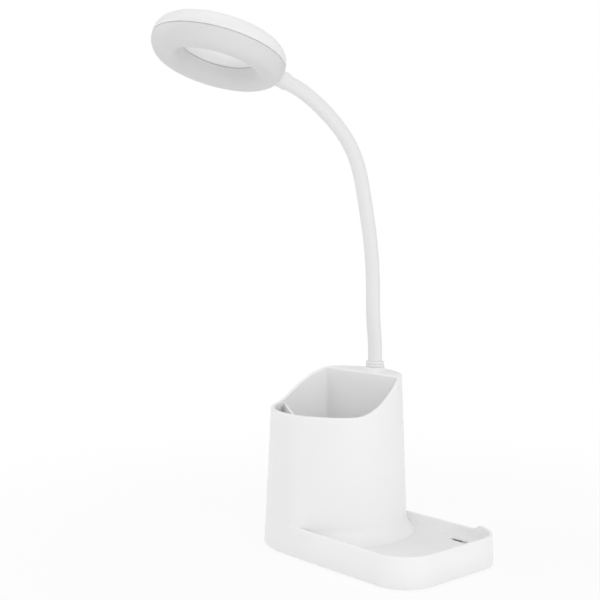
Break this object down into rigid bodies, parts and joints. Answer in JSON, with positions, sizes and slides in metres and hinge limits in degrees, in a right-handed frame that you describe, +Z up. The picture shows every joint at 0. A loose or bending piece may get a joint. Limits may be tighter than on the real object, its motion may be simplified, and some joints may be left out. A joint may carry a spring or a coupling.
{
  "type": "rechargeable table lamp",
  "caption": "Rechargeable desk lamp: ring-shaped light head on a gooseneck, on a base that joins a round pen cup with a wave-shaped rim to a low tray.",
  "frame": {"origin": "the middle of the underside of the pad that the lamp stands on, under the middle of the base's length and width", "axes": "+Z up; +X from the pen cup to the tray's far end; -Y towards the user, the way the head leans"},
  "size_m": [0.1442, 0.1759, 0.3092],
  "materials": {
    "white_plastic": "satin moulded ABS",
    "milky_plastic": "light-spreading milky acrylic",
    "white_sleeve": "satin flexible sleeve",
    "black_plastic": "matte",
    "foam_rubber": "matte foam rubber",
    "steel": "zinc-plated",
    "nickel": "nickel-plated",
    "cell_wrap": "foil pouch in clear wrap",
    "green_board": "solder mask on glass fibre",
    "white_board": "white solder mask on glass fibre"
  },
  "bodies": {
    "base": {"base_housing": "white_plastic", "battery_cell": "cell_wrap", "battery_contact_1": "nickel", "battery_contact_2": "nickel", "battery_holder": "black_plastic", "board_screw_1": "steel", "board_screw_2": "steel", "bottom_cover": "white_plastic", "charge_light": "milky_plastic", "charge_socket": "nickel", "counterweight": "steel", "cover_screw_1": "steel", "cover_screw_2": "steel", "cover_screw_3": "steel", "cover_screw_4": "steel", "main_board": "green_board", "neck_collar": "white_plastic", "neck_ferrule": "steel", "neck_hose_1": "steel", "neck_nut": "steel", "neck_skin_1": "white_sleeve", "neck_washer": "steel", "non_slip_pad": "foam_rubber", "switch_board": "green_board", "switch_body": "steel"},
    "neck_2": {"neck_skin_2": "white_sleeve", "neck_hose_2": "steel"},
    "neck_3": {"neck_skin_3": "white_sleeve", "neck_hose_3": "steel"},
    "neck_4": {"neck_skin_4": "white_sleeve", "neck_hose_4": "steel"},
    "neck_5": {"neck_skin_5": "white_sleeve", "neck_hose_5": "steel"},
    "neck_6": {"neck_skin_6": "white_sleeve", "neck_hose_6": "steel"},
    "neck_7": {"neck_skin_7": "white_sleeve", "neck_hose_7": "steel"},
    "head": {"diffuser": "milky_plastic", "head_housing": "white_plastic", "head_sleeve": "white_sleeve", "led_board": "white_board", "led_screw_1": "steel", "led_screw_2": "steel", "led_screw_3": "steel", "neck_clip": "steel", "neck_hose_8": "steel", "neck_skin_8": "white_sleeve"},
    "switch": {"switch_slider": "black_plastic"}
  },
  "joints": [
    {"name": "neck_fore_aft_1", "type": "hinge", "parent": "base", "child": "neck_2", "pos_m": [-0.0245, 0.02963, 0.12746], "axis": [1, 0, 0], "range_deg": [-30, 25]},
    {"name": "neck_sideways_2", "type": "hinge", "parent": "neck_2", "child": "neck_3", "pos_m": [-0.0245, 0.02795, 0.15539], "axis": [0, 0.9997, 0.0257], "range_deg": [-30, 30]},
    {"name": "neck_fore_aft_3", "type": "hinge", "parent": "neck_3", "child": "neck_4", "pos_m": [-0.0245, 0.02565, 0.18328], "axis": [1, 0, 0], "range_deg": [-30, 25]},
    {"name": "neck_sideways_4", "type": "hinge", "parent": "neck_4", "child": "neck_5", "pos_m": [-0.0245, 0.02003, 0.2107], "axis": [0, 0.9738, 0.2274], "range_deg": [-30, 30]},
    {"name": "neck_fore_aft_5", "type": "hinge", "parent": "neck_5", "child": "neck_6", "pos_m": [-0.0245, 0.01146, 0.23728], "axis": [1, 0, 0], "range_deg": [-30, 25]},
    {"name": "neck_sideways_6", "type": "hinge", "parent": "neck_6", "child": "neck_7", "pos_m": [-0.0245, -0.00669, 0.25831], "axis": [0, 0.625, 0.7806], "range_deg": [-30, 30]},
    {"name": "neck_fore_aft_7", "type": "hinge", "parent": "neck_7", "child": "head", "pos_m": [-0.0245, -0.03029, 0.27327], "axis": [1, 0, 0], "range_deg": [-30, 25]},
    {"name": "switch_slide", "type": "slide", "parent": "base", "child": "switch", "axis": [1, 0, 0], "range_m": [0, 0.004]}
  ]
}
